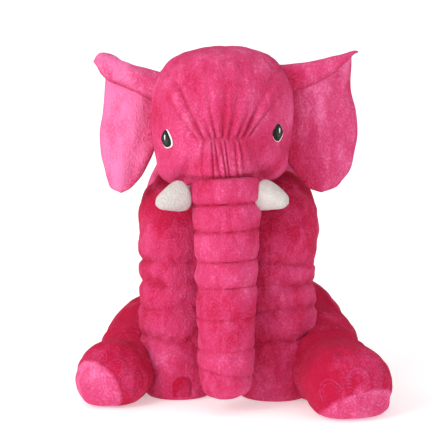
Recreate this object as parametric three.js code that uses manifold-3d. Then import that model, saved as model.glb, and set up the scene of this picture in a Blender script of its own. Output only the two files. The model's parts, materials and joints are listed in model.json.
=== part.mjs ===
// A sitting plush elephant: short-pile covers over soft filling, in millimetres, +Z up.
// It looks along -Y. "left" and "right" are the elephant's own, so its left side is at +X.
// The head looks straight ahead, while the sitting body is turned a little towards its own right.
import * as THREE from "three";
import { mergeVertices } from "three/addons/utils/BufferGeometryUtils.js";
import Module from "manifold-3d";

const wasm = await Module();
wasm.setup();

// Cloth and clearances
const WALL = 2.5; // fabric with its pile
const GAP = 0.4; // between neighbouring covers
const FILLING_INSET = WALL + 1.2; // from the outside of a cover to the filling that it holds
const SIDES_ROUND = 16; // flats round a lathed piece
const BODY_TURN = THREE.MathUtils.degToRad(-10);

// Head
const HEAD = { x: -3, y: -72, bottom: 356, top: 600, width: 236, depthShare: 0.95 };
const FOREHEAD = { halfWidth: 42, flareStart: 455, flareTop: 560, flareHalfWidth: 96 };
const EYE = { radius: 14, thickness: 1.2, x: 89, z: 449, rise: 6, stand: 2.2 };
const ELASTIC = { width: 72, thickness: 2, height: 6, y: -170, z: 446 };

// Neck
const NECK = { x: 2, y: 48, z: 392, radius: 34, clearance: 3 };

// Trunk: the crease heights from its root to its tip, and the widest radius between them
const TRUNK = { x: 4, y: -160, creaseShare: 0.88, headClearance: 3 };
const TRUNK_CREASES = [383, 342, 298, 250, 208, 157, 105, 25];
const TRUNK_RADII = [57, 56, 53, 52, 50, 49, 46];

// Tusks
const TUSK = { length: 50, baseRadius: 17, tipRadius: 10, sides: 14, x: 79, y: -155, z: 366 };
const TUSK_DIRECTION = new THREE.Vector3(40, -38, -30).normalize();

// Ears
const EAR = { rootX: 122, y: -40, batting: 9, panel: 2.5, rootGap: 3 };

// Torso
const TORSO = { x: 8, y: 140, depthShare: 0.8 };
const SEAM_GAP = 0.3;

// Legs
const FORELEG = { radius: 57, height: 345, soleRadius: 44, soleThickness: 3 };
const ROOM_SIDES = 14; // flats round the balls and posts that clear room for a neighbour
const HIND = { hipRadius: 84, footRadius: 62, soleRadius: 50, solePast: 46, soleThickness: 3 };
const SOCKET_CLEARANCE = 3;
const SWEEP_CLEARANCE = 10;
const HIP_SWING = [0, 15, 30]; // degrees, up and outwards together
const HIP_OUTWARD_SHARE = 0.8;
const DENT_CLEARANCE = 4;
const DENT_SHIFTS = [-14, 0, 12, 24]; // how far the foreleg's foot swings along Y past the hind leg
const NAIL = { width: 34, height: 34, thickness: 2, stand: 1 };
const LEGS = [
  { name: "left", sign: 1, foreleg: [80, -42], hip: [149, 85], foot: [194, -150] },
  { name: "right", sign: -1, foreleg: [-76, -18], hip: [-133, 135], foot: [-186, -84] },
];

// Tail
const TAIL = { x: 48, y: 266, z: 150, radius: 8, length: 90, tuftRadius: 14, tuftLength: 40, lean: 0.12 };

// Finishes
const plush = () => new THREE.MeshStandardMaterial({ color: 0xdb3069, roughness: 0.95, metalness: 0 });
const nailCloth = () => new THREE.MeshStandardMaterial({ color: 0xb01f50, roughness: 0.95, metalness: 0 });
const tuskCloth = () => new THREE.MeshStandardMaterial({ color: 0xece8e2, roughness: 0.9, metalness: 0 });
const fibre = () => new THREE.MeshStandardMaterial({ color: 0xf4f4f0, roughness: 1, metalness: 0 });
const thread = () => new THREE.MeshStandardMaterial({ color: 0x1c2620, roughness: 0.5, metalness: 0 });
const elasticTape = () => new THREE.MeshStandardMaterial({ color: 0xf0f0f0, roughness: 0.8, metalness: 0 });

const elephant = new THREE.Group();

// A closed geometry as a solid that can be cut, and back again.
function solidOf(geometry) {
  const bare = geometry.clone();
  bare.deleteAttribute("normal");
  bare.deleteAttribute("uv");
  const merged = mergeVertices(bare, 1e-3);
  return new wasm.Manifold(
    new wasm.Mesh({
      numProp: 3,
      vertProperties: new Float32Array(merged.attributes.position.array),
      triVerts: new Uint32Array(merged.index.array),
    }),
  );
}

function geometryOf(solid) {
  const mesh = solid.getMesh();
  const geometry = new THREE.BufferGeometry();
  geometry.setAttribute("position", new THREE.BufferAttribute(mesh.vertProperties, 3));
  geometry.setIndex(new THREE.BufferAttribute(mesh.triVerts, 1));
  geometry.computeVertexNormals();
  return geometry;
}

function add(name, geometry, material, parent = elephant) {
  const mesh = new THREE.Mesh(geometry, material);
  mesh.name = name;
  parent.add(mesh);
  return mesh;
}

// A solid of revolution about Z from [radius, height] pairs listed upwards.
function turned(profile, sides = SIDES_ROUND) {
  const points = profile.map(([r, z]) => new THREE.Vector2(Math.max(r, 0), z));
  return new THREE.LatheGeometry(points, sides).rotateX(Math.PI / 2);
}

// A profile closed onto the axis at both ends.
function capped(profile) {
  const [first, last] = [profile[0], profile[profile.length - 1]];
  return [[0, first[1]], ...profile, [0, last[1]]];
}

// A smooth run of [radius, height] pairs through a few of them.
function smooth(points, count) {
  const curve = new THREE.SplineCurve(points.map(([r, z]) => new THREE.Vector2(r, z)));
  return curve.getPoints(count).map((p) => [p.x, p.y]);
}

// The same profile drawn in by a distance at its sides and at both ends.
function drawnIn(profile, distance) {
  const low = profile[0][1] + distance;
  const high = profile[profile.length - 1][1] - distance;
  return profile.map(([r, z]) => [r - distance, THREE.MathUtils.clamp(z, low, high)]);
}

// An open-ended tube of cloth: its outside upwards, then its inside back down.
function tubeOf(profile) {
  const inside = profile.map(([r, z]) => [r - WALL, z]).reverse();
  return turned([...profile, ...inside, profile[0]]);
}

function ball(centre, radius, sides = ROOM_SIDES) {
  return new THREE.SphereGeometry(radius, sides, Math.round(sides * 0.6)).translate(...centre);
}

function upright([x, y], radius, low, high, sides = ROOM_SIDES) {
  return new THREE.CylinderGeometry(radius, radius, high - low, sides)
    .rotateX(Math.PI / 2)
    .translate(x, y, (low + high) / 2);
}

// Cloth between an outer and an inner solid.
const clothOf = (outer, inner) => outer.subtract(inner);

// The main piece of a cut solid, without the slivers that a cut leaves beside it.
const mainPiece = (solid) => solid.decompose().sort((a, b) => b.volume() - a.volume())[0];

// ---- Head -------------------------------------------------------------------------------
const headOutline = smooth(
  [
    [62, HEAD.bottom],
    [100, HEAD.bottom + 24],
    [112, HEAD.bottom + 60],
    [HEAD.width / 2, HEAD.bottom + 122],
    [112, HEAD.top - 64],
    [80, HEAD.top - 19],
    [34, HEAD.top],
  ],
  9,
);

function headSolid(inset) {
  const geometry = turned(capped(drawnIn(headOutline, inset)), 20);
  geometry.scale(1, HEAD.depthShare, 1).translate(HEAD.x, HEAD.y, 0);
  const trunkRoom = upright(
    [TRUNK.x, TRUNK.y],
    TRUNK_RADII[0] + TRUNK.headClearance + inset,
    HEAD.bottom - 30,
    TRUNK_CREASES[0] + TRUNK.headClearance + inset,
  );
  const neckRoom = ball([NECK.x, NECK.y, NECK.z], NECK.radius + NECK.clearance);
  return solidOf(geometry).subtract(solidOf(trunkRoom)).subtract(solidOf(neckRoom));
}

// The forehead panel's outline in XZ, drawn through the head from front to back.
function foreheadWedge(grow) {
  const shape = new THREE.Shape();
  const low = HEAD.bottom - 20;
  const high = HEAD.top + 20;
  const narrow = FOREHEAD.halfWidth + grow;
  const wide = FOREHEAD.flareHalfWidth + grow;
  const right = [
    [narrow, low],
    [narrow, FOREHEAD.flareStart],
    [wide, FOREHEAD.flareTop],
    [wide, high],
  ];
  const outline = [...right, ...right.map(([x, z]) => [-x, z]).reverse()];
  outline.forEach(([x, z], i) => (i ? shape.lineTo(x, z) : shape.moveTo(x, z)));
  shape.closePath();
  return new THREE.ExtrudeGeometry(shape, { depth: 400, bevelEnabled: false })
    .rotateX(Math.PI / 2)
    .translate(HEAD.x, HEAD.y + 200, 0);
}

const headCloth = clothOf(headSolid(0), headSolid(WALL));
const cheekCloth = headCloth.subtract(solidOf(foreheadWedge(SEAM_GAP)));
const halfSpace = (sign) =>
  solidOf(new THREE.BoxGeometry(400, 800, 800).translate(HEAD.x + sign * 200, 0, 300));
add("head_forehead_panel", geometryOf(headCloth.intersect(solidOf(foreheadWedge(0)))), plush());
for (const { name, sign } of LEGS)
  add(`head_cheek_panel_${name}`, geometryOf(cheekCloth.intersect(halfSpace(sign))), plush());

// The elastic lies in a groove that is open at the front of the filling.
const elasticBar = (room, front) => {
  const back = ELASTIC.y + ELASTIC.thickness + room;
  return new THREE.BoxGeometry(ELASTIC.width + 2 * room, back - front, ELASTIC.height + 2 * room)
    .translate(HEAD.x, (back + front) / 2, ELASTIC.z);
};
add("forehead_gather_elastic", elasticBar(0, ELASTIC.y), elasticTape());
const groove = elasticBar(GAP, HEAD.y - HEAD.width);
add("head_filling", geometryOf(headSolid(FILLING_INSET).subtract(solidOf(groove))), fibre());

// Embroidered eyes, each a thin disc that faces out along the head's surface.
for (const { name, sign } of LEGS) {
  const along = EYE.x / (HEAD.width / 2);
  const depth = (HEAD.width / 2) * HEAD.depthShare;
  const surface = new THREE.Vector3(
    sign * EYE.x,
    -depth * Math.sqrt(1 - along * along),
    0,
  );
  const normal = new THREE.Vector3(surface.x, surface.y / HEAD.depthShare ** 2, 0).normalize();
  const eye = add(
    `eye_embroidery_${name}`,
    new THREE.CylinderGeometry(EYE.radius, EYE.radius, EYE.thickness, 20),
    thread(),
  );
  eye.quaternion.setFromUnitVectors(new THREE.Vector3(0, 1, 0), normal);
  eye.position
    .set(HEAD.x, HEAD.y, EYE.z + sign * EYE.rise)
    .add(surface)
    .addScaledVector(normal, EYE.stand);
}

// ---- Neck -------------------------------------------------------------------------------
add("neck_filling", ball([NECK.x, NECK.y, NECK.z], NECK.radius), fibre());

// ---- Trunk ------------------------------------------------------------------------------
// Each segment is a barrel between two stitched creases; the last one closes at its tip.
function trunkProfile(index) {
  const high = TRUNK_CREASES[index] - GAP;
  const low = TRUNK_CREASES[index + 1] + GAP;
  const radius = TRUNK_RADII[index];
  const crease = radius * TRUNK.creaseShare;
  const height = high - low;
  if (index === TRUNK_RADII.length - 1)
    return [
      [radius * 0.45, low],
      [radius * 0.74, low + height * 0.1],
      [radius * 0.92, low + height * 0.32],
      [radius, low + height * 0.6],
      [radius * 0.97, low + height * 0.85],
      [crease, high],
    ];
  return [
    [crease, low],
    [radius * 0.97, low + height * 0.2],
    [radius, low + height * 0.5],
    [radius * 0.97, low + height * 0.8],
    [crease, high],
  ];
}

// The same profile drawn in from its sides and, where it is closed, from its low end.
function trunkInside(profile, inset, closed) {
  const floor = closed ? profile[0][1] + inset : profile[0][1];
  return profile.map(([r, z]) => [r - inset, Math.max(z, floor)]);
}

// The tip's cover is a cup, open at its top where it meets the segment above.
function trunkTipCover(profile) {
  const room = trunkInside(profile, WALL, true);
  const [mouthRadius, mouthHeight] = room.at(-1);
  room.push([mouthRadius, mouthHeight + WALL]);
  return geometryOf(solidOf(turned(capped(profile))).subtract(solidOf(turned(capped(room)))));
}

TRUNK_RADII.forEach((radius, index) => {
  const profile = trunkProfile(index);
  const isTip = index === TRUNK_RADII.length - 1;
  const group = new THREE.Group();
  group.position.set(TRUNK.x, TRUNK.y, 0);
  elephant.add(group);
  const cover = isTip ? trunkTipCover(profile) : tubeOf(profile);
  add(`trunk_cover_${index + 1}`, cover, plush(), group);
  const filling = turned(capped(trunkInside(profile, FILLING_INSET, isTip)));
  add(`trunk_filling_${index + 1}`, filling, fibre(), group);
});

// ---- Tusks ------------------------------------------------------------------------------
const tuskProfile = [
  [TUSK.baseRadius, 0],
  [TUSK.baseRadius * 1.03, TUSK.length * 0.3],
  [TUSK.baseRadius * 0.86, TUSK.length * 0.65],
  [TUSK.tipRadius, TUSK.length * 0.92],
  [TUSK.tipRadius * 0.5, TUSK.length],
];
for (const { name, sign } of LEGS) {
  const group = new THREE.Group();
  group.position.set(sign * TUSK.x, TUSK.y, TUSK.z);
  const direction = TUSK_DIRECTION.clone();
  direction.x *= sign;
  group.quaternion.setFromUnitVectors(new THREE.Vector3(0, 0, 1), direction);
  elephant.add(group);
  const outer = solidOf(turned(capped(tuskProfile), TUSK.sides));
  const room = tuskProfile.map(([r, z], i) => [r - WALL, i ? z - WALL : -1]);
  const cover = outer.subtract(solidOf(turned(capped(room), TUSK.sides)));
  add(`tusk_cover_${name}`, geometryOf(cover), tuskCloth(), group);
  const inner = tuskProfile.map(([r, z], i) => [r - FILLING_INSET, i ? z - FILLING_INSET : 0]);
  add(`tusk_filling_${name}`, turned(capped(inner), TUSK.sides), fibre(), group);
}

// ---- Ears -------------------------------------------------------------------------------
// The outline runs outwards from the root: [out from the root line, height].
const EAR_EDGE = [
  [EAR.rootGap, 566],
  [48, 574],
  [96, 590],
  [92, 552],
  [100, 500],
  [102, 446],
  [97, 404],
  [84, 370],
  [60, 353],
  [34, 362],
  [14, 386],
  [EAR.rootGap, 416],
];
const earCurve = new THREE.SplineCurve(EAR_EDGE.slice(3).map(([u, v]) => new THREE.Vector2(u, v)));
const earOutline = [
  ...EAR_EDGE.slice(0, 3).map(([u, v]) => new THREE.Vector2(u, v)),
  ...earCurve.getPoints(18),
];
const earPlate = (thickness) =>
  new THREE.ExtrudeGeometry(new THREE.Shape(earOutline), { depth: thickness, bevelEnabled: false })
    .rotateX(Math.PI / 2)
    .translate(0, thickness / 2, 0);
const earLayers = [
  ["front", EAR.panel, -(EAR.batting / 2 + GAP + EAR.panel / 2), plush],
  ["batting", EAR.batting, 0, fibre],
  ["back", EAR.panel, EAR.batting / 2 + GAP + EAR.panel / 2, plush],
];
for (const { name, sign } of LEGS) {
  const group = new THREE.Group();
  group.position.set(HEAD.x + sign * EAR.rootX, EAR.y, 0);
  if (sign < 0) group.rotation.z = Math.PI;
  elephant.add(group);
  for (const [layer, thickness, y, finish] of earLayers)
    add(`ear_${layer}_${name}`, earPlate(thickness), finish(), group).position.y = sign * y;
}

// ---- Legs -------------------------------------------------------------------------------
const forelegProfile = [
  [FORELEG.radius - 9, 0],
  [FORELEG.radius - 2, 14],
  [FORELEG.radius, 34],
  [FORELEG.radius, 250],
  [FORELEG.radius - 6, FORELEG.height - 36],
  [FORELEG.radius - 24, FORELEG.height - 8],
  [FORELEG.radius - 34, FORELEG.height],
];

// A toenail: an arch standing on its flat edge, facing -Y.
function nail() {
  const shape = new THREE.Shape();
  const half = NAIL.width / 2;
  shape.moveTo(-half, 0);
  shape.lineTo(half, 0);
  shape.lineTo(half, NAIL.height - half);
  shape.absarc(0, NAIL.height - half, half, 0, Math.PI, false);
  shape.closePath();
  return new THREE.ExtrudeGeometry(shape, { depth: NAIL.thickness, bevelEnabled: false, curveSegments: 8 })
    .rotateX(Math.PI / 2);
}

const FORELEG_NAIL_TURNS = [-0.36, 0.36];
for (const { name, foreleg } of LEGS) {
  const group = new THREE.Group();
  group.position.set(...foreleg, 0);
  elephant.add(group);
  add(`foreleg_cover_${name}`, tubeOf(forelegProfile), plush(), group);
  const inner = forelegProfile.map(([r, z], i) => [
    r - FILLING_INSET,
    i ? z : FORELEG.soleThickness + GAP,
  ]);
  add(`foreleg_filling_${name}`, turned(capped(inner)), fibre(), group);
  const sole = upright([0, 0], FORELEG.soleRadius, 0, FORELEG.soleThickness, SIDES_ROUND);
  add(`foreleg_sole_${name}`, sole, plush(), group);
  FORELEG_NAIL_TURNS.forEach((turn, i) => {
    const spot = new THREE.Group();
    spot.rotation.z = turn;
    group.add(spot);
    const mesh = add(`foreleg_nail_${name}_${i + 1}`, nail(), nailCloth(), spot);
    mesh.position.set(0, -(FORELEG.radius + NAIL.stand), 6);
  });
}

// A hind leg lies along its own axis from a ball at the hip to a flat sole at the foot.
function hindProfile(inset, length, extra = 0) {
  const hip = HIND.hipRadius - inset;
  const foot = HIND.footRadius - inset;
  const back = [];
  for (let i = 0; i <= 5; i++) {
    const angle = THREE.MathUtils.degToRad(-90 + 16.5 * i);
    back.push([hip * Math.cos(angle), hip * Math.sin(angle)]);
  }
  return [
    ...back,
    [foot, length],
    [foot - 3, length + 20],
    [HIND.soleRadius + 4 - inset, length + HIND.solePast - 4 - inset],
    [HIND.soleRadius - inset, length + HIND.solePast - inset + extra],
  ];
}

const FLAT_SHARE = Math.cos(Math.PI / SIDES_ROUND); // a flat's distance from the axis, over a corner's
const HIND_NAIL_TURNS = [-0.62, 0, 0.62];

function hindEnds({ hip, foot }) {
  const start = new THREE.Vector3(...hip, HIND.hipRadius * FLAT_SHARE);
  const end = new THREE.Vector3(...foot, HIND.footRadius * FLAT_SHARE);
  return { start, end };
}

function hindFrame(leg) {
  const { start, end } = hindEnds(leg);
  const direction = end.clone().sub(start);
  const length = direction.length();
  direction.normalize();
  const side = new THREE.Vector3(-direction.y, direction.x, 0).normalize();
  const up = new THREE.Vector3().crossVectors(direction, side);
  const place = new THREE.Matrix4().makeBasis(side, up, direction).setPosition(start);
  return { place, length };
}

// The line through the hip about which a hind leg swings up and outwards.
function hipAxis(leg) {
  const { start, end } = hindEnds(leg);
  const along = end.sub(start);
  return new THREE.Vector3(along.y, -along.x, 0)
    .normalize()
    .setZ(leg.sign * HIP_OUTWARD_SHARE)
    .normalize();
}

// Posts where the foreleg stands as it swings, seen from the hind leg as that swings too.
function forelegRoom(leg, inset) {
  const { start } = hindEnds(leg);
  const axis = hipAxis(leg);
  const [x, y] = leg.foreleg;
  const radius = FORELEG.radius + DENT_CLEARANCE + inset;
  return HIP_SWING.flatMap((swing) => {
    const back = new THREE.Matrix4()
      .makeTranslation(start)
      .multiply(new THREE.Matrix4().makeRotationAxis(axis, -THREE.MathUtils.degToRad(swing)))
      .multiply(new THREE.Matrix4().makeTranslation(start.clone().negate()));
    return DENT_SHIFTS.map((shift) =>
      upright([x, y + shift], radius, -FORELEG.height, FORELEG.height).applyMatrix4(back),
    );
  });
}

function hindSolid(leg, inset, extra = 0) {
  const { place, length } = hindFrame(leg);
  const flatDown = Math.PI / SIDES_ROUND;
  const geometry = turned(capped(hindProfile(inset, length, extra)))
    .rotateZ(flatDown)
    .applyMatrix4(place);
  return forelegRoom(leg, inset).reduce(
    (solid, post) => solid.subtract(solidOf(post)),
    solidOf(geometry),
  );
}

for (const leg of LEGS) {
  const { place, length } = hindFrame(leg);
  const cover = clothOf(hindSolid(leg, 0), hindSolid(leg, WALL, WALL + 2));
  add(`hind_leg_cover_${leg.name}`, geometryOf(mainPiece(cover)), plush());
  add(`hind_leg_filling_${leg.name}`, geometryOf(mainPiece(hindSolid(leg, FILLING_INSET))), fibre());
  const group = new THREE.Group();
  group.applyMatrix4(place);
  elephant.add(group);
  const soleFront = length + HIND.solePast + GAP;
  const sole = upright([0, 0], HIND.soleRadius, soleFront, soleFront + HIND.soleThickness, SIDES_ROUND);
  add(`hind_sole_${leg.name}`, sole, plush(), group);
  HIND_NAIL_TURNS.forEach((turn, i) => {
    const spot = new THREE.Group();
    spot.rotation.z = Math.PI + turn;
    group.add(spot);
    const mesh = add(`hind_nail_${leg.name}_${i + 1}`, nail(), nailCloth(), spot);
    mesh.position.set(0, -(HIND.footRadius + NAIL.stand), length - 6);
  });
}

// Balls that cover where the top of a hind leg is as it swings up and outwards about its hip.
function hipRoom(leg, inset) {
  const { start, end } = hindEnds(leg);
  const along = end.clone().sub(start);
  const axis = hipAxis(leg);
  const room = [ball(start.toArray(), HIND.hipRadius + SOCKET_CLEARANCE + inset, 18)];
  for (const share of [0.25, 0.5])
    for (const swing of HIP_SWING) {
      const radius = THREE.MathUtils.lerp(HIND.hipRadius, HIND.footRadius, share);
      const centre = along
        .clone()
        .multiplyScalar(share)
        .applyAxisAngle(axis, THREE.MathUtils.degToRad(swing))
        .add(start);
      room.push(ball(centre.toArray(), radius + SWEEP_CLEARANCE + inset));
    }
  return room;
}

// ---- Torso ------------------------------------------------------------------------------
const torsoOutline = [
  ...smooth(
    [
      [104, 0],
      [128, 50],
      [128, 170],
      [148, 305],
      [138, 380],
      [100, 430],
      [40, 450],
    ],
    9,
  ),
];

function torsoSolid(inset) {
  const geometry = turned(capped(drawnIn(torsoOutline, inset)), 20)
    .scale(1, TORSO.depthShare, 1)
    .rotateZ(BODY_TURN)
    .translate(TORSO.x, TORSO.y, 0);
  const rooms = [ball([NECK.x, NECK.y, NECK.z], NECK.radius + NECK.clearance)];
  for (const leg of LEGS) rooms.push(...hipRoom(leg, inset));
  return rooms.reduce((solid, room) => solid.subtract(solidOf(room)), solidOf(geometry));
}

const torsoCloth = clothOf(torsoSolid(0), torsoSolid(WALL));
for (const { name, sign } of LEGS) {
  const half = new THREE.BoxGeometry(400, 800, 800)
    .translate(sign * (200 + SEAM_GAP / 2), 0, 300)
    .rotateZ(BODY_TURN)
    .translate(TORSO.x, TORSO.y, 0);
  add(`torso_cover_${name}`, geometryOf(mainPiece(torsoCloth.intersect(solidOf(half)))), plush());
}
add("torso_filling", geometryOf(mainPiece(torsoSolid(FILLING_INSET))), fibre());

// ---- Tail -------------------------------------------------------------------------------
const tail = new THREE.Group();
tail.position.set(TAIL.x, TAIL.y, TAIL.z);
tail.rotation.x = TAIL.lean;
elephant.add(tail);
const tailProfile = [
  [TAIL.radius * 0.8, -TAIL.length],
  [TAIL.radius, -TAIL.length * 0.3],
  [TAIL.radius * 0.9, 0],
];
add("tail", turned(capped(tailProfile), 12), plush(), tail);
const tuftLow = -TAIL.length - GAP - TAIL.tuftLength;
const tuftProfile = [
  [TAIL.tuftRadius * 0.3, tuftLow],
  [TAIL.tuftRadius, tuftLow + TAIL.tuftLength * 0.45],
  [TAIL.tuftRadius * 0.5, tuftLow + TAIL.tuftLength],
];
add("tail_tuft", turned(capped(tuftProfile), 12), plush(), tail);

// The origin is on the floor, in the middle of the space that the elephant takes up.
elephant.updateMatrixWorld(true);
const extent = new THREE.Box3().setFromObject(elephant, true);
const middle = extent.getCenter(new THREE.Vector3());
elephant.position.set(-middle.x, -middle.y, -extent.min.z);

export default elephant;
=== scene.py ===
"""A sitting plush elephant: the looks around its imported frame. Metres, +Z up, the face along -Y."""
import json
import math

import bpy
import numpy as np
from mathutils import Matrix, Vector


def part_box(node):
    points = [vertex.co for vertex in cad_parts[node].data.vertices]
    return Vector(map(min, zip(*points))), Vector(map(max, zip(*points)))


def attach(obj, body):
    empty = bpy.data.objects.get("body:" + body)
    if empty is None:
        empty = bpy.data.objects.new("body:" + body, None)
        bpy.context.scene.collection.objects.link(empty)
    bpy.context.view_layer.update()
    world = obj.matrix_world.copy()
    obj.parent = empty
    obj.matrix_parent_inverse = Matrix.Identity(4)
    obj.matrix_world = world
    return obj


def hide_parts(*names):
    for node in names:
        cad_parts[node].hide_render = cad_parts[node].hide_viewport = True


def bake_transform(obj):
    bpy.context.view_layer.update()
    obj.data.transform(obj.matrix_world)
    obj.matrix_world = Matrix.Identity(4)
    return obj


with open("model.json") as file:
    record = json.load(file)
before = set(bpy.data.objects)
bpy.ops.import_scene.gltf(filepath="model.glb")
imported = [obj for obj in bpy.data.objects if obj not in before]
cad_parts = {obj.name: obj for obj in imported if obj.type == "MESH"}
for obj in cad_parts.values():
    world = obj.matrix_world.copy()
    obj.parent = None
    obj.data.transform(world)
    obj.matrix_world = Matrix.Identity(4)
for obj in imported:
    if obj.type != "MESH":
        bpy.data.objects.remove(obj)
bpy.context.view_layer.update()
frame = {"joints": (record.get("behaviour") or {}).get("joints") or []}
HINGE = {joint["name"]: np.array(joint["pos_m"]) for joint in frame["joints"]}
SIDES = {"left": 1.0, "right": -1.0}


def middle(node):
    """The middle of a CAD node's box."""
    low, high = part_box(node)
    return (np.array(low) + np.array(high)) / 2


NECK = HINGE["head_turn"]
HEAD = NECK + np.array((-0.005, -0.120, -NECK[2]))  # the head's upright axis, on the floor
TORSO = NECK + np.array((0.006, 0.092, -NECK[2]))  # the torso's, likewise
TRUNK = middle("trunk_cover_4") * np.array((1, 1, 0))
BODY_TURN = math.radians(-10)
FACE_TILT = 0.05
CLOTH_FRAMES = 14
CLOTH_ROWS = 76
CLOTH_PRESSURE = 4.0
CLOTH_SHRINK = -0.025  # below zero, the cloth grows: plush is cut a little slack


# ---- Numbers on grids --------------------------------------------------------------------
def smoothstep(x, low, high):
    """Rises from 0 at low to 1 at high, flat at both ends."""
    t = np.clip((x - low) / (high - low), 0, 1)
    return t * t * (3 - 2 * t)


def hump(x, centre, width):
    """A bell of height 1 at centre."""
    return np.exp(-(((x - centre) / width) ** 2))


def flow(x, xs, ys):
    """A smooth line through the points (xs, ys): cubic Hermite pieces, their slopes averaged."""
    xs, ys = np.asarray(xs, float), np.asarray(ys, float)
    steps = np.diff(xs)
    rises = np.diff(ys) / steps
    slopes = np.concatenate((rises[:1], (rises[:-1] + rises[1:]) / 2, rises[-1:]))
    x = np.clip(x, xs[0], xs[-1])
    i = np.clip(np.searchsorted(xs, x, side="right") - 1, 0, len(xs) - 2)
    t = (x - xs[i]) / steps[i]
    rise = ys[i + 1] - ys[i]
    return (
        ys[i]
        + rise * t * t * (3 - 2 * t)
        + steps[i] * t * (1 - t) * (slopes[i] * (1 - t) - slopes[i + 1] * t)
    )


def soft_noise(points, size, seed):
    """Smooth random heights from -1 to 1: a seeded lattice with cells of that size, eased between."""
    lattice = np.random.default_rng(seed).uniform(-1, 1, (32, 32, 32))
    p = np.asarray(points) / size
    cell = np.floor(p).astype(int)
    t = p - cell
    t = t * t * (3 - 2 * t)
    total = np.zeros(p.shape[:-1])
    for corner in np.ndindex(2, 2, 2):
        index = (cell + corner) % 32
        weight = np.prod(np.where(np.array(corner) == 1, t, 1 - t), axis=-1)
        total += weight * lattice[index[..., 0], index[..., 1], index[..., 2]]
    return total


def normals(grid):
    """Outward unit normals of a grid of rings, from the differences between its neighbours."""
    along = np.gradient(grid, axis=0)
    around = (np.roll(grid, -1, axis=1) - np.roll(grid, 1, axis=1)) / 2
    n = np.cross(around, along)
    return n / np.maximum(np.linalg.norm(n, axis=-1, keepdims=True), 1e-12)


def pushed(grid, height):
    """The grid moved along its normals by a height at each point."""
    return grid + normals(grid) * height[..., None]


def turns(count, start=0.0):
    """Angles of the points round a closed ring, evenly spaced over one whole turn."""
    return np.linspace(start, start + 2 * math.pi, count, endpoint=False)


def squarer(c, power):
    """A sine or cosine raised to a power with its sign kept: below 1 it makes a ring squarer."""
    return np.sign(c) * np.abs(c) ** power


def round_rings(values, columns):
    """One value for each ring, repeated round it."""
    return np.repeat(values[:, None], columns, axis=1)


def spread(values, weight, count):
    """A count of values between the first and the last, closest together where weight is high."""
    share = np.concatenate(([0], np.cumsum((weight[1:] + weight[:-1]) / 2 * np.diff(values))))
    return np.interp(np.linspace(0, share[-1], count), share, values)


# ---- Meshes ------------------------------------------------------------------------------
def piece_of(name, points, faces, material, marks=None):
    """A smooth piece from points and faces, with named numbers stored at its points."""
    mesh = bpy.data.meshes.new(name)
    mesh.from_pydata(points.reshape(-1, 3), [], faces)
    mesh.update()
    mesh.polygons.foreach_set("use_smooth", np.ones(len(mesh.polygons), bool))
    for mark, values in (marks or {}).items():
        layer = mesh.attributes.new(mark, "FLOAT", "POINT")
        layer.data.foreach_set("value", np.asarray(values, np.float32).ravel())
    mesh.materials.append(material)
    piece = bpy.data.objects.new(name, mesh)
    bpy.context.scene.collection.objects.link(piece)
    return piece


def ring_faces(rows, columns):
    """Quads between closed rings, facing outwards when the rings run anticlockwise upwards."""
    i, j = np.meshgrid(np.arange(rows - 1), np.arange(columns), indexing="ij")
    k = (j + 1) % columns
    quads = (i * columns + j, i * columns + k, (i + 1) * columns + k, (i + 1) * columns + j)
    return np.stack(quads, axis=-1).reshape(-1, 4).tolist()


def shell(name, grid, material, marks=None):
    """A closed piece of rings from its low end to its high end, with a point added at each pole."""
    rows, columns = grid.shape[:2]
    points = np.concatenate((grid.reshape(-1, 3), grid[0].mean(0)[None], grid[-1].mean(0)[None]))
    low, high = rows * columns, rows * columns + 1
    faces = ring_faces(rows, columns)
    last = (rows - 1) * columns
    for j in range(columns):
        k = (j + 1) % columns
        faces.append((low, k, j))
        faces.append((high, last + j, last + k))
    full = {
        mark: np.concatenate((v.ravel(), [v[0].mean()], [v[-1].mean()]))
        for mark, v in (marks or {}).items()
    }
    return piece_of(name, points, faces, material, full)


def upsampled(values, at, closed):
    """Rows of values read between whole rows by Catmull-Rom pieces, round again if closed."""
    count = len(values)
    i = np.floor(at).astype(int)
    f = (at - i)[:, None, None]
    near = [(i + k) % count if closed else np.clip(i + k, 0, count - 1) for k in (-1, 0, 1, 2)]
    a, b, c, d = (values[index] for index in near)
    return b + f / 2 * (c - a + f * (2 * a - 5 * b + 4 * c - d + f * (3 * (b - c) + d - a)))


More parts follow.
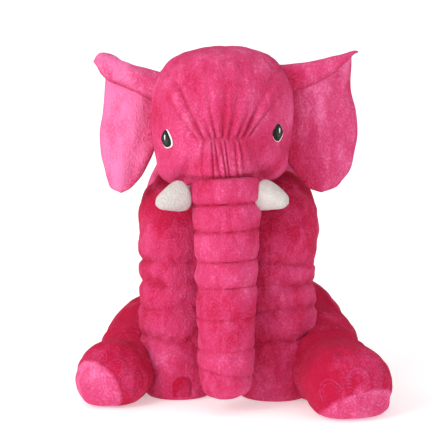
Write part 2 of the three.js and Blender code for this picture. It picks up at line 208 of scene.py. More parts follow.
def filled(grid, held, cap):
    """Fills a coarse copy of the piece with air as Cloth, held where held is 1, and carries how
    far its points moved, never past the cap, back to the fine grid."""
    rows, columns = grid.shape[:2]
    i = np.unique(np.round(np.linspace(0, rows - 1, CLOTH_ROWS)).astype(int))
    j = np.arange(0, columns, 2)
    pick = np.ix_(i, j)
    piece = shell("filled_copy", grid[pick], PINK)
    piece.data.materials.clear()
    start = np.zeros(len(piece.data.vertices) * 3, np.float32)
    piece.data.vertices.foreach_get("co", start)
    grip = np.round(np.concatenate((held[pick].ravel(), [1, 1])) * 10)
    group = piece.vertex_groups.new(name="held")
    for level in range(1, 11):
        group.add(np.flatnonzero(grip == level).tolist(), level / 10, "REPLACE")
    modifier = piece.modifiers.new("cloth", "CLOTH")
    cloth = modifier.settings
    cloth.vertex_group_mass = "held"
    cloth.use_pressure = True
    cloth.uniform_pressure_force = CLOTH_PRESSURE
    cloth.shrink_min = CLOTH_SHRINK
    cloth.quality = 6
    cloth.effector_weights.gravity = 0
    modifier.point_cache.frame_start = 1
    modifier.point_cache.frame_end = CLOTH_FRAMES
    scene = bpy.context.scene
    for step in range(1, CLOTH_FRAMES + 1):
        scene.frame_set(step)
    swollen = piece.evaluated_get(bpy.context.evaluated_depsgraph_get())
    end = np.zeros_like(start)
    swollen.data.vertices.foreach_get("co", end)
    scene.frame_set(1)
    bpy.data.objects.remove(piece)
    move = (end - start).reshape(-1, 3)[:-2].reshape(len(i), len(j), 3).astype(float)
    far = np.maximum(np.linalg.norm(move, axis=-1, keepdims=True), 1e-9)
    move *= cap * np.tanh(far / cap) / far
    for axis in (0, 1):
        move = (np.roll(move, 1, axis) + 2 * move + np.roll(move, -1, axis)) / 4
    move = upsampled(move, np.interp(np.arange(rows), i, np.arange(len(i))), False)
    move = upsampled(move.swapaxes(0, 1), np.arange(columns) / 2, True).swapaxes(0, 1)
    return grid + move


def finish_piece(piece, body, replaced=(), refine=0):
    """Refines a piece, says what it rides on, and hides the CAD parts that it stands for."""
    if refine:
        modifier = piece.modifiers.new("refine", "SUBSURF")
        modifier.levels = refine
        modifier.render_levels = refine
    if body:
        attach(piece, body)
    if replaced:
        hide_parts(*replaced)


# ---- Finishes ----------------------------------------------------------------------------
class Signal:
    """A number that varies over a surface. Arithmetic on it adds Math nodes."""

    def __init__(self, finish, socket):
        """Wraps an output socket of a finish's nodes."""
        self.finish = finish
        self.socket = socket

    def math(self, operation, a, b):
        """One Math node on two numbers or signals."""
        return self.finish.node("ShaderNodeMath", {"operation": operation}, {0: a, 1: b})

    def __add__(self, other):
        """The sum of two signals, or of a signal and a number."""
        return self.math("ADD", self, other)

    def __mul__(self, other):
        """Their product."""
        return self.math("MULTIPLY", self, other)

    __radd__ = __add__
    __rmul__ = __mul__


class Finish:
    """One cloth or thread: a material whose colour, roughness and relief come from its nodes."""

    def __init__(self, name):
        """A new material with that name."""
        self.material = bpy.data.materials.new(name)
        self.material.use_nodes = True
        self.tree = self.material.node_tree
        self.surface = self.tree.nodes["Principled BSDF"]

    def node(self, kind, settings=None, sockets=None, out=0):
        """A new node of that kind, its settings made first, then its sockets filled or linked."""
        node = self.tree.nodes.new(kind)
        for key, value in (settings or {}).items():
            if key == "stops":
                ramp = node.color_ramp.elements
                for element, (at, colour) in zip((ramp[0], ramp[-1]), (value[0], value[-1])):
                    element.position, element.color = at, (*colour, 1)
                for at, colour in value[1:-1]:
                    ramp.new(at).color = (*colour, 1)
            else:
                setattr(node, key, value)
        for key, value in (sockets or {}).items():
            self.fill(node.inputs[key], value)
        return Signal(self, node.outputs[out])

    def fill(self, socket, value):
        """A value, a colour or a signal for one socket."""
        if isinstance(value, Signal):
            self.tree.links.new(value.socket, socket)
        elif isinstance(value, tuple) and len(socket.default_value) == 4:
            socket.default_value = (*value, 1)
        else:
            socket.default_value = value

    def set(self, **sockets):
        """Fills the shader's own sockets, named with _ for spaces."""
        for key, value in sockets.items():
            self.fill(self.surface.inputs[key.replace("_", " ")], value)

    def place(self, stretch=(1, 1, 1)):
        """Object coordinates, stretched."""
        at = self.node("ShaderNodeTexCoord", out=3)
        return self.node("ShaderNodeMapping", {}, {"Vector": at, "Scale": stretch})

    def noise(self, scale, stretch=(1, 1, 1), detail=2.0, distortion=0.0):
        """Cloudy noise from 0 to 1."""
        return self.node(
            "ShaderNodeTexNoise",
            {},
            {"Vector": self.place(stretch), "Scale": scale, "Detail": detail,
             "Distortion": distortion},
        )

    def contrast(self, signal, low, high):
        """The signal stretched so that low becomes 0 and high becomes 1."""
        return self.node(
            "ShaderNodeMapRange",
            {"interpolation_type": "SMOOTHSTEP"},
            {"Value": signal, "From Min": low, "From Max": high},
        )

    def mix(self, factor, a, b):
        """From colour a to colour b by the factor."""
        return self.node("ShaderNodeMix", {"data_type": "RGBA"}, {0: factor, 6: a, 7: b}, out=2)

    def mark(self, name):
        """A number stored at the piece's points."""
        return self.node("ShaderNodeAttribute", {"attribute_name": name}, {}, out=2)

    def relief(self, height, depth):
        """Small relief for the surface's normal."""
        return self.node(
            "ShaderNodeBump", {}, {"Height": height, "Distance": depth, "Strength": 1.0}
        )


def plush(name, deep, middle_tone, light, sheen, fold=(0.46, 0.003, 0.030)):
    """Short pile: patches where the pile lies one way or the other, brushed strokes, and small clumps
    of pile. A stored tone mark lightens or darkens it: random pile direction plus painted light and
    shade. The mark crease turns it to the fold colour: painted shade in creases, seams and joins."""
    f = Finish(name)
    patches = f.contrast(f.noise(17, (1, 1, 0.8), 3, 0.7), 0.36, 0.66)
    strokes = f.contrast(f.noise(62, (1, 1, 0.45), 4, 0.5), 0.34, 0.68)
    clumps = f.contrast(f.noise(330, (1, 1, 0.8), 3), 0.36, 0.66)
    tufts = f.noise(1100, (1, 1, 1), 1)
    # The stored tone mark adds painted light and shade (a lit ear, highlights on stitches, shade
    # under the head) on top of random pile direction.
    nap = patches * 0.22 + strokes * 0.16 + clumps * 0.20 + f.mark("nap") * 0.5 + 0.22
    colour = f.mix(f.contrast(nap, 0.05, 0.55), deep, middle_tone)
    colour = f.mix(f.contrast(nap, 0.45, 1.05), colour, light)
    # Painted shade: the crease mark darkens the colour towards the fold colour in creases, seams and
    # joins.
    colour = f.mix(f.mark("crease") * 0.85, colour, fold)
    height = clumps * 0.9 + tufts * 0.45 + strokes * 0.4
    f.set(
        Base_Color=colour,
        Roughness=nap * -0.12 + 0.92,
        Normal=f.relief(height, 0.0013),
        Sheen_Weight=sheen,
        Sheen_Roughness=0.42,
        Sheen_Tint=(1.0, 0.36, 0.62),
        Specular_IOR_Level=0.12,
    )
    return f.material


def thread_finish(name, dark, light, sheen=0.3):
    """Satin stitches: close glossy threads side by side, slightly uneven in tone."""
    f = Finish(name)
    threads = f.noise(900, (1, 1, 0.12), 1)
    tone = f.contrast(threads, 0.35, 0.65)
    f.set(
        Base_Color=f.mix(tone, dark, light),
        Roughness=tone * -0.12 + 0.5,
        Normal=f.relief(threads, 0.0005),
        Sheen_Weight=sheen,
        Specular_IOR_Level=0.12,
    )
    return f.material


PINK = plush(
    "pink_plush", (0.53, 0.009, 0.055), (0.68, 0.052, 0.172), (0.92, 0.205, 0.440), 0.06
)
# The tusks' fold colour is painted shade, used where each tusk meets the face.
IVORY = plush(
    "tusk_cloth_pile", (0.50, 0.44, 0.42), (0.63, 0.58, 0.55), (0.76, 0.73, 0.71), 0.12,
    (0.42, 0.12, 0.16),
)
EYE_WHITE = thread_finish("eye_white_thread", (0.62, 0.60, 0.58), (0.9, 0.89, 0.87))
EYE_BLACK = thread_finish("eye_black_thread", (0.003, 0.003, 0.003), (0.014, 0.015, 0.014), 0.0)
EYE_GREEN = thread_finish("eye_green_thread", (0.005, 0.014, 0.009), (0.018, 0.042, 0.028), 0.0)
EYE_GREY = thread_finish("eye_grey_thread", (0.018, 0.034, 0.027), (0.060, 0.085, 0.070), 0.0)


# ---- Head --------------------------------------------------------------------------------
HEAD_OUTLINE = np.array(
    [
        (0.0, 0.352), (0.032, 0.3525), (0.060, 0.357), (0.080, 0.369), (0.097, 0.388),
        (0.110, 0.412), (0.1165, 0.438), (0.1195, 0.472), (0.117, 0.523), (0.1065, 0.553),
        (0.0895, 0.574), (0.065, 0.588), (0.032, 0.5968), (0.0, 0.599),
    ]
)
HEAD_DEPTH = 0.95
UPPER_STITCH = 0.445
LOWER_STITCH = 0.383


def head_profile(count):
    """Radii and heights of the head's rows, closest together across the muzzle and brow."""
    steps = np.linalg.norm(np.diff(HEAD_OUTLINE, axis=0), axis=1)
    knots = np.concatenate(([0], np.cumsum(steps)))
    s = np.linspace(0, knots[-1], 2000)
    z = flow(s, knots, HEAD_OUTLINE[:, 1])
    s = spread(s, 1 + 1.6 * smoothstep(z, 0.36, 0.38) * (1 - smoothstep(z, 0.50, 0.55)), count)
    radius = np.maximum(flow(s, knots, HEAD_OUTLINE[:, 0]), 0.0006)
    return radius, flow(s, knots, HEAD_OUTLINE[:, 1])


def muzzle_reach(x, z):
    """How far the muzzle stands forward: most at its lower stitch line, fading up and sideways."""
    levels = [0.355, 0.372, 0.383, 0.400, 0.446, 0.475, 0.510]
    forward = flow(z, levels, [0, 0.030, 0.041, 0.034, 0.012, 0.004, 0])
    return forward * np.exp(-((np.abs(x) / 0.060) ** 3))


def leaned(x, z):
    """How much the face's lower part is raised on one side: the head is held a little askew."""
    return FACE_TILT * x * (1 - smoothstep(z, 0.47, 0.58))


def face_y(x, z):
    """The head's front surface behind a point of the face: an ellipse across at each height."""
    radius, height = head_profile(600)
    depth = np.sqrt(np.maximum(np.interp(z, height, radius) ** 2 - x**2, 1e-6))
    return -HEAD_DEPTH * depth - muzzle_reach(x, z)


def head_relief(x, z):
    """Heights and crease shades of the face: pleats between two stitch lines, folds that fan out
    above them, soft panel seams, and a valley between the muzzle and each cheek."""
    up = np.clip((z - LOWER_STITCH) / (UPPER_STITCH - LOWER_STITCH), -0.5, 4)
    centre = np.interp(up, [0, 1], [0.008, 0.000])
    half = np.interp(up, [0, 1, 2.4], [0.044, 0.038, 0.100])
    u = (x - centre) / half
    wander = 0.07 * np.sin(5.1 * u + 1.3 * up) + 0.05 * np.sin(13 * u - 1.5 * up)
    fold = np.abs(np.sin(math.pi * 4.25 * (u + 1 + wander)))
    ridge = fold**1.15
    inside = 1 - smoothstep(np.abs(u), 0.62, 1.18)
    band = smoothstep(up, -0.10, 0.10) * (1 - smoothstep(up, 0.86, 1.02)) * inside
    pillow = 0.55 + 0.45 * np.sin(math.pi * np.clip(up, 0, 1))
    height = band * pillow * (0.0056 * ridge - 0.0010)
    shade = band * (1 - ridge) ** 1.4 * 0.72
    lengths = 0.95 + 0.45 * np.sin(7.3 * u + 1.0) + 0.30 * np.sin(17 * u)
    fading = np.exp(-np.clip(up - 1, 0, 4) / np.clip(lengths, 0.40, 1.7))
    above = smoothstep(up, 0.96, 1.10) * fading * (1 - smoothstep(np.abs(u), 0.95, 1.35))
    fan = np.abs(np.sin(math.pi * 3.75 * (u + 1.03 + wander * 0.5))) ** 1.2
    height += above * 0.0085 * (fan - 0.45)
    shade += above * (1 - fan) ** 1.6 * 0.60
    line = (hump(z, UPPER_STITCH, 0.0030) + 0.5 * hump(z, UPPER_STITCH, 0.008)) * inside
    height -= 0.0030 * line * (0.6 + 0.4 * (1 - ridge))
    shade += 0.24 * line
    root = hump(z, LOWER_STITCH, 0.005) * (1 - smoothstep(np.abs(x), 0.055, 0.07))
    height -= 0.003 * root
    shade += 0.3 * root
    long_fold = hump(x, 0.004 + 0.05 * (z - 0.445), 0.0030)
    long_fold *= smoothstep(z, 0.445, 0.455) * (1 - smoothstep(z, 0.49, 0.535))
    height -= 0.0026 * long_fold
    shade += 0.35 * long_fold
    side = np.abs(x)
    valley = side - flow(z, [0.368, 0.39, 0.42, 0.452], [0.074, 0.062, 0.054, 0.050])
    reach = smoothstep(z, 0.362, 0.378) * (1 - smoothstep(z, 0.395, 0.448))
    height -= reach * 0.0062 * hump(valley, 0, 0.0095)
    shade += reach * 0.30 * hump(valley, 0, 0.0050)
    height += 0.0125 * hump(side, 0.088, 0.026) * hump(z, 0.398, 0.023)
    height -= 0.0040 * smoothstep(side, 0.085, 0.105) * hump(z, 0.432, 0.012)
    seam = side - flow(z, [0.452, 0.475, 0.526, 0.558, 0.575], [0.040, 0.048, 0.070, 0.094, 0.112])
    on = smoothstep(z, 0.448, 0.470) * (1 - smoothstep(z, 0.560, 0.58))
    height -= on * (0.0008 * hump(seam, 0, 0.0020) + 0.0034 * hump(seam, 0, 0.009))
    shade += on * 0.16 * hump(seam, 0, 0.0026)
    return height, np.clip(shade, 0, 1)


def loose_cloth(points):
    """The small unevenness of stuffed cloth, in metres."""
    return 0.0020 * soft_noise(points, 0.045, 3) + 0.0008 * soft_noise(points, 0.016, 4)


def make_head():
    """Rings about an upright axis, set closer at the front; the muzzle reaches forward."""
    radius, z = head_profile(250)
    turn = turns(300, -math.pi)
    turn = turn - 0.58 * np.sin(turn)
    x = radius[:, None] * np.sin(turn)
    y = -HEAD_DEPTH * radius[:, None] * np.cos(turn)
    z = round_rings(z, len(turn))
    front = smoothstep(np.cos(turn), 0.0, 0.35)[None]
    y = y - front * muzzle_reach(x, z)
    grid = np.stack((x, y, z), axis=-1)
    height, shade = head_relief(x, z)
    poles = smoothstep(radius, 0.004, 0.03)[:, None]
    grid = pushed(grid, (height * front + loose_cloth(grid)) * poles)
    grid[..., 2] += leaned(x, z)
    nap = 0.25 * soft_noise(grid, 0.06, 5)
    head = shell("head_cover", grid + HEAD, PINK, {"crease": shade * front, "nap": nap})
    nodes = ("head_forehead_panel", "head_cheek_panel_left", "head_cheek_panel_right",
             "head_filling", "forehead_gather_elastic")
    finish_piece(head, "head", nodes)


def on_face(x, z, stand):
    """A point of the face, standing that far out of the cloth along its own outward direction."""
    step = 1e-4
    y = face_y(x, z)
    slopes = ((face_y(x + step, z) - y) / step, -np.ones_like(y), (face_y(x, z + step) - y) / step)
    out = np.stack(slopes, axis=-1)
    out /= np.linalg.norm(out, axis=-1, keepdims=True)
    base = np.stack((x, y, z), axis=-1)
    height = head_relief(x, z)[0] + loose_cloth(base) + stand
    base = base + out * height[..., None]
    base[..., 2] += leaned(x, z)
    return base + HEAD


PATCH_COLUMNS = 72


def face_patch(name, outline, stand, material, crown=0.0006):
    """A thin stitched patch inside an outline of the face: rings that shrink to its middle."""
    at = np.linspace(0, len(outline), PATCH_COLUMNS, endpoint=False)
    edge = upsampled(outline[:, None], at, True)[:, 0]
    centre = edge.mean(0)
    shares = np.concatenate(([0.97, 1.0], np.linspace(0.985, 0.03, 12)))
    stands = np.concatenate(([-0.0012, stand * 0.5], stand + crown * np.linspace(0, 1, 12) ** 0.5))
    flat = centre + (edge - centre) * shares[:, None, None]
    grid = on_face(flat[..., 0], flat[..., 1], round_rings(stands, PATCH_COLUMNS))
    return shell(name, grid, material, {"crease": np.zeros(grid.shape[:2])})


EYES = {
    "right": {
        "at": (-0.0887, 0.4490),
        "white": [(-0.0010, 0.0155), (0.0050, 0.0075), (0.0098, -0.004), (0.0085, -0.0125),
                  (0.0005, -0.0155), (-0.0075, -0.0125), (-0.0105, -0.002), (-0.0075, 0.0095)],
        "black": [(-0.0022, 0.0150), (0.0032, 0.0070), (0.0076, -0.0035), (0.0066, -0.0110),
                  (-0.0002, -0.0135), (-0.0070, -0.0105), (-0.0102, -0.0010), (-0.0078, 0.0092)],
        "green": [(-0.0024, 0.0105), (0.0018, 0.0050), (0.0052, -0.0035), (0.0042, -0.0090),
                  (-0.0008, -0.0112), (-0.0058, -0.0085), (-0.0080, -0.0010), (-0.0062, 0.0065)],
        "grey": [(-0.0016, 0.0010), (0.0018, -0.0020), (0.0024, -0.0060), (-0.0006, -0.0088),
                 (-0.0038, -0.0066), (-0.0036, -0.0016)],
        "glint": [(-0.0032, 0.0062), (-0.0020, 0.0062), (-0.0020, -0.0006), (-0.0032, -0.0006)],
    },
    "left": {
        "at": (0.0906, 0.4500),
        "white": [(0.0005, 0.0150), (0.0062, 0.0085), (0.0098, -0.0020), (0.0062, -0.0118),
                  (-0.0012, -0.0148), (-0.0078, -0.0100), (-0.0092, -0.0005), (-0.0055, 0.0090)],
        "black": [(0.0000, 0.0148), (0.0056, 0.0082), (0.0088, -0.0010), (0.0046, -0.0100),
                  (-0.0016, -0.0136), (-0.0078, -0.0096), (-0.0094, 0.0000), (-0.0058, 0.0088)],
        "green": [(-0.0002, 0.0108), (0.0038, 0.0058), (0.0060, -0.0010), (0.0030, -0.0080),
                  (-0.0016, -0.0108), (-0.0060, -0.0076), (-0.0070, 0.0002), (-0.0044, 0.0066)],
        "grey": [(-0.0002, 0.0014), (0.0026, -0.0014), (0.0020, -0.0058), (-0.0012, -0.0084),
                 (-0.0040, -0.0056), (-0.0032, -0.0010)],
        "glint": [(-0.0006, 0.0070), (0.0008, 0.0070), (0.0008, 0.0006), (-0.0006, 0.0006)],
    },
}
EYE_LAYERS = [
    ("white", EYE_WHITE, 0.0010), ("black", EYE_BLACK, 0.0016), ("green", EYE_GREEN, 0.0022),
    ("grey", EYE_GREY, 0.0027), ("glint", EYE_WHITE, 0.0032),
]
EYE_SCALES = {"green": 0.86, "grey": 0.80}


def make_eyes():
    """Each eye is five stitched patches, one on another."""
    for side, eye in EYES.items():
        x, z = eye["at"]
        for layer, material, stand in EYE_LAYERS:
            outline = np.array(eye[layer]) * EYE_SCALES.get(layer, 1.0) + (x, z)
            patch = face_patch(f"eye_{layer}_{side}", outline, stand, material)
            nodes = (f"eye_embroidery_{side}",) if layer == "white" else ()
            finish_piece(patch, "head", nodes)


# ---- Tusks -------------------------------------------------------------------------------
def frames_along(path):
    """Side and up directions square to a path, level sideways."""
    ahead = np.gradient(path, axis=0)
    ahead /= np.linalg.norm(ahead, axis=1, keepdims=True)
    side = np.cross(ahead, (0, 0, 1.0))
    side /= np.maximum(np.linalg.norm(side, axis=1, keepdims=True), 1e-9)
    return side, np.cross(side, ahead)


def swept(path, across, upward, columns):
    """Elliptic rings along a path, with half-widths across and upward at each row."""
    side, up = frames_along(path)
    turn = turns(columns)
    c, s = np.cos(turn), np.sin(turn)
    return (
        path[:, None]
        + side[:, None] * (across[:, None] * c)[..., None]
        + up[:, None] * (upward[:, None] * s)[..., None]
    )


def line_through(points, t):
    """A smooth path through points, evenly numbered."""
    points = np.asarray(points, float)
    knots = np.linspace(0, 1, len(points))
    return np.stack([flow(t, knots, points[:, i]) for i in range(3)], axis=-1)


def make_tusks():
    """Blunt cones that come out between cheek and muzzle and point outwards and a little down."""
    for side, sign in SIDES.items():
        t = 0.5 - 0.5 * np.cos(np.linspace(0, math.pi, 40))
        path = line_through(
            [(0.050, -0.088, 0.3650), (0.064, -0.098, 0.3605), (0.084, -0.111, 0.3545),
             (0.1050, -0.121, 0.3470)], t
        ) * (sign, 1, 1) + HEAD
        path[:, 2] += FACE_TILT * sign * 0.02 - 0.005
        width = flow(t, [0, 0.20, 0.27, 0.33, 0.40, 0.55, 0.70, 0.85, 0.94, 1],
                     [0.0110, 0.0150, 0.0212, 0.0240, 0.0246, 0.0222, 0.0180, 0.0132, 0.0088,
                      0.001])
        grid = swept(path, width, width * 1.02, 40)
        grid = pushed(grid, soft_noise(grid, 0.014, 8) * 0.0005)
        shade = round_rings(0.5 * (1 - smoothstep(t, 0.02, 0.22)), 40)
        tusk = shell(f"tusk_{side}", grid, IVORY, {"crease": shade})
        nodes = (f"tusk_cover_{side}", f"tusk_filling_{side}")
        finish_piece(tusk, "head", nodes, refine=1)


# ---- Trunk -------------------------------------------------------------------------------
def crease_heights():
    """The heights of the trunk's creases, halfway between neighbouring CAD segments."""
    boxes = [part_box(f"trunk_cover_{k}") for k in range(1, 8)]
    joins = [(boxes[k][0][2] + boxes[k + 1][1][2]) / 2 for k in range(6)]
    return [boxes[0][1][2], *joins, boxes[6][0][2]]


CREASES = crease_heights()
CREASES[-1] -= 0.004
CREASE_RADII = [0.0465, 0.0525, 0.0500, 0.0480, 0.0468, 0.0450, 0.0430]
BULGES = [0.0110, 0.0045, 0.0042, 0.0038, 0.0030, 0.0030, 0.0030]
CREASE_SHADES = [0.35, 0.75, 0.75, 0.60, 0.35, 0.35, 0.30]
TIP_SEAM = 0.068


def trunk_ring(radius, z, columns):
    """One ring of the trunk or the neck: nearly round, and tilted a little as the face is."""
    turn = turns(columns)
    x = radius * np.cos(turn)
    return np.stack((x, radius * 0.97 * np.sin(turn), z + FACE_TILT * x), axis=-1)


def trunk_radius(k, t):
    """The radius from a ring's low end to its high end: drawn in at creases, closed at the tip."""
    top = CREASE_RADII[k]
    if k == 6:
        knots = [0, 0.02, 0.07, 0.16, 0.30, 0.50, 0.75, 0.92, 1.0]
        radii = [0.0115, 0.020, 0.030, 0.0378, 0.0428, 0.0453, 0.0463, 0.0450, top]
        return flow(t, knots, radii)
    swell = np.sin(math.pi * np.clip(t, 0, 1)) ** 0.5
    return CREASE_RADII[k + 1] + (top - CREASE_RADII[k + 1]) * t + BULGES[k] * swell


def make_trunk():
    """Seven stuffed rings between drawn-in creases, each crease shared with its neighbour; small
    folds run away from every crease."""
    columns = 160
    turn = turns(columns)
    round_about = np.stack((np.cos(turn), np.sin(turn), np.zeros(columns)), axis=-1)
    for k in range(7):
        high, low = CREASES[k], CREASES[k + 1]
        t = 0.5 - 0.5 * np.cos(np.linspace(0, math.pi, 48))
        rings = [
            trunk_ring(r, h, columns)
            for r, h in zip(trunk_radius(k, t), low + (high - low) * t)
        ]
        grid = np.stack(rings) + TRUNK
        below, above = ((1 - t) * (high - low))[:, None], (t * (high - low))[:, None]
        jointed = 0.0 if k == 6 else 1.0
        height = 0.0020 * soft_noise(grid, 0.022, 20) + 0.0008 * soft_noise(grid, 0.009, 40)
        shade = np.zeros(grid.shape[:2])
        for off, level, part in ((below, k, 1.0), (above, k + 1, jointed)):
            folds = soft_noise(round_about * 6.5 + 7.3 * level, 1.0, 11)[None]
            depth = CREASE_SHADES[level] if level < 7 else 0.0
            height += part * 0.0024 * folds * np.exp(-off / 0.010)
            height -= part * 0.0022 * depth * hump(off, 0, 0.0025)
            dark = 0.8 * hump(off, 0, 0.0018) + 0.3 * hump(off, 0, 0.007)
            shade += part * depth * (0.8 + 0.6 * folds) * dark
        if k == 6:
            seam = hump(above - (TIP_SEAM - low) + 0.010 * round_about[None, :, 0], 0, 0.0020)
            height -= 0.0022 * seam
            shade += 0.35 * seam
        ends = np.minimum(smoothstep(1 - t, 0, 0.04), smoothstep(t, 0, 0.04))[:, None]
        grid = pushed(grid, height * ends)
        marks = {"crease": np.clip(shade, 0, 1), "nap": -0.16 + 0.2 * soft_noise(grid, 0.05, 6)}
        piece = shell(f"trunk_ring_{k + 1}", grid, PINK, marks)
        nodes = (f"trunk_cover_{k + 1}", f"trunk_filling_{k + 1}")
        finish_piece(piece, None, nodes)
        high - 0.001
        high - 0.016
        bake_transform(piece)


# ---- Ears --------------------------------------------------------------------------------
# The right ear faces the key light: its tone values (1.0 against 0.25 for the ear, 0.40 against -0.05
# for its fold) paint it lighter, which is painted light.
EAR_SHAPES = {
    "right": {
        "z": [0.352, 0.358, 0.370, 0.400, 0.430, 0.473, 0.510, 0.535, 0.552],
        "out": [0.178, 0.192, 0.2005, 0.207, 0.2100, 0.2090, 0.2060, 0.2040, 0.202],
        "in": [0.172, 0.160, 0.148, 0.130, 0.115, 0.098, 0.090, 0.085, 0.085],
        "top": [(0.095, 0.5560), (0.130, 0.5640), (0.165, 0.5755), (0.195, 0.5885),
                (0.2180, 0.5890)],
        "under": [(0.095, 0.500), (0.130, 0.5150), (0.165, 0.5310), (0.195, 0.5440),
                  (0.2130, 0.5600)],
        "tip": 0.219, "round": 0.020, "thick": 0.028, "nap": 1.0, "fold_nap": 0.40,
    },
    "left": {
        "z": [0.353, 0.359, 0.371, 0.394, 0.417, 0.450, 0.495, 0.545, 0.570, 0.584],
        "out": [0.176, 0.194, 0.207, 0.2215, 0.2285, 0.2315, 0.2285, 0.2235, 0.2235, 0.2215],
        "in": [0.168, 0.150, 0.136, 0.120, 0.108, 0.095, 0.090, 0.100, 0.155, 0.195],
        "top": [(0.095, 0.5680), (0.135, 0.5735), (0.165, 0.5785), (0.195, 0.5850),
                (0.2290, 0.5945)],
        "under": [(0.095, 0.512), (0.125, 0.5240), (0.157, 0.5350), (0.190, 0.5570),
                  (0.2240, 0.5870)],
        "tip": 0.2285, "round": 0.020, "thick": 0.021, "nap": 0.25, "fold_nap": -0.05,
    },
}
EAR_Y = float(HINGE["ear_flap_left"][1])
FLAP_ROOT = 0.095


def make_ears():
    """A long cushion hanging from the head, closed at its rim; its upper edge is folded forward."""
    for side, sign in SIDES.items():
        shape = EAR_SHAPES[side]
        knots = shape["z"]
        steps = np.linspace(knots[0], knots[-1], 600)
        z = spread(steps, 1 + 4 * hump(steps, knots[0], 0.012), 120)
        out, root = flow(z, knots, shape["out"]), flow(z, knots, shape["in"])
        turn = turns(130)
        c, s = np.cos(turn), np.sin(turn)
        x = ((out + root) / 2)[:, None] + ((out - root) / 2)[:, None] * squarer(c, 0.85)
        share = (x - root[:, None]) / (out - root)[:, None]
        fullness = 0.0030 + 0.0135 * smoothstep(z - knots[0], -0.004, 0.05)[:, None]
        hollow = 1 - 0.45 * hump(share, 0.25, 0.2) * smoothstep(-s, 0, 0.4)[None]
        y = fullness * hollow * squarer(s, 0.8)
        y = y - 0.012 + 0.020 * smoothstep(share, 0.3, 1.0) ** 1.5
        grid = np.stack((x * sign, y, round_rings(z, len(turn))), axis=-1)
        grid += np.array((HEAD[0], EAR_Y, 0))
        tall = smoothstep(z - knots[0], 0, 0.02)[:, None]
        streaks = soft_noise(grid * (70, 0, 13) + (3, 1, 2), 1.0, 31)
        height = (0.0022 * streaks + 0.0026 * soft_noise(grid, 0.035, 33)) * tall
        # Painted shade: darker along the ear's outer edge and bottom, and near the head, through both
        # the shade and the tone mark.
        rim = smoothstep(-s, -0.2, 0.2)[None] * (
            hump(share, 1, 0.05) + hump((z - knots[0])[:, None], 0.0, 0.006)
        )
        near_head = (1 - smoothstep(share, 0.05, 0.45)) * np.ones_like(x)
        nap = shape["nap"] + 0.22 * streaks - 0.55 * near_head
        shade = np.clip(0.25 * rim + 0.25 * near_head, 0, 1) * np.ones_like(x)
        if sign < 0:
            grid, height, nap, shade = (v[:, ::-1] for v in (grid, height, nap, shade))
        marks = {"crease": shade, "nap": nap}
        ear = shell(f"ear_{side}", pushed(grid, height), PINK, marks)
        nodes = tuple(f"ear_{layer}_{side}" for layer in ("front", "batting", "back"))
        finish_piece(ear, None, nodes)
        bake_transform(ear)
        make_flap(side, sign, shape)


def make_flap(side, sign, shape):
    """The ear's folded upper edge: a puffy flat tube from the head to its tip."""
    top, under = np.array(shape["top"]), np.array(shape["under"])
    steps = np.linspace(FLAP_ROOT, shape["tip"], 500)
    x = spread(steps, 1 + 5 * smoothstep(steps, shape["tip"] - 0.02, shape["tip"]), 100)
    high, low = flow(x, top[:, 0], top[:, 1]), flow(x, under[:, 0], under[:, 1])
    closing = smoothstep(x, shape["tip"] - shape["round"], shape["tip"] + 0.0004)
    closing = np.sqrt(np.clip(1 - closing**2, 0.0004, 1))
    half = (high - low) / 2 * closing
    turn = turns(110)
    c, s = np.cos(turn), np.sin(turn)
    z = ((high + low) / 2)[:, None] + half[:, None] * squarer(s, 0.85)
    fullness = np.interp(x, [FLAP_ROOT, 0.15, shape["tip"]], [0.9, 1.0, 0.75])
    thick = shape["thick"] * closing * fullness
    y = -0.020 - thick[:, None] * c
    grid = np.stack((round_rings(x, len(turn)) * sign, y, z), axis=-1)
    grid += np.array((HEAD[0], EAR_Y, 0))
    height = 0.0024 * soft_noise(grid, 0.028, 51)
    height += 0.0012 * soft_noise(grid * (1, 1, 2.5), 0.02, 52)
    # Painted shade along the underside of the fold, and a painted highlight on its top.
    lower = 0.4 * hump(s, -1, 0.2) * np.ones_like(z)
    upper = smoothstep(s, 0.0, 0.9) * np.ones_like(z)
    nap = shape["fold_nap"] + 0.2 * upper + 0.2 * soft_noise(grid, 0.03, 53)
    if sign > 0:
        grid, height, lower, nap = (v[:, ::-1] for v in (grid, height, lower, nap))
    flap = shell(f"ear_fold_{side}", pushed(grid, height), PINK, {"crease": lower, "nap": nap})
    finish_piece(flap, None)
    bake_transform(flap)


# ---- Torso and neck ----------------------------------------------------------------------
def turned_body(grid):
    """The sitting body's own coordinates, turned and put in its place."""
    c, s = math.cos(BODY_TURN), math.sin(BODY_TURN)
    x, y = grid[..., 0] * c - grid[..., 1] * s, grid[..., 0] * s + grid[..., 1] * c
    return np.stack((x, y, grid[..., 2]), axis=-1) + TORSO


TORSO_SECTIONS = np.array(  # height, half-width, and depth in front of and behind the axis
    [
        (0.0, 0.100, 0.070, 0.085), (0.012, 0.120, 0.085, 0.102), (0.045, 0.138, 0.100, 0.114),
        (0.10, 0.147, 0.105, 0.118), (0.18, 0.155, 0.110, 0.120), (0.22, 0.156, 0.114, 0.121),
        (0.26, 0.156, 0.124, 0.122), (0.30, 0.156, 0.140, 0.121), (0.345, 0.153, 0.148, 0.116),
        (0.365, 0.149, 0.133, 0.112), (0.39, 0.140, 0.108, 0.106), (0.42, 0.125, 0.088, 0.094),
        (0.445, 0.094, 0.062, 0.074), (0.457, 0.050, 0.034, 0.042), (0.462, 0.004, 0.003, 0.003),
    ]
)


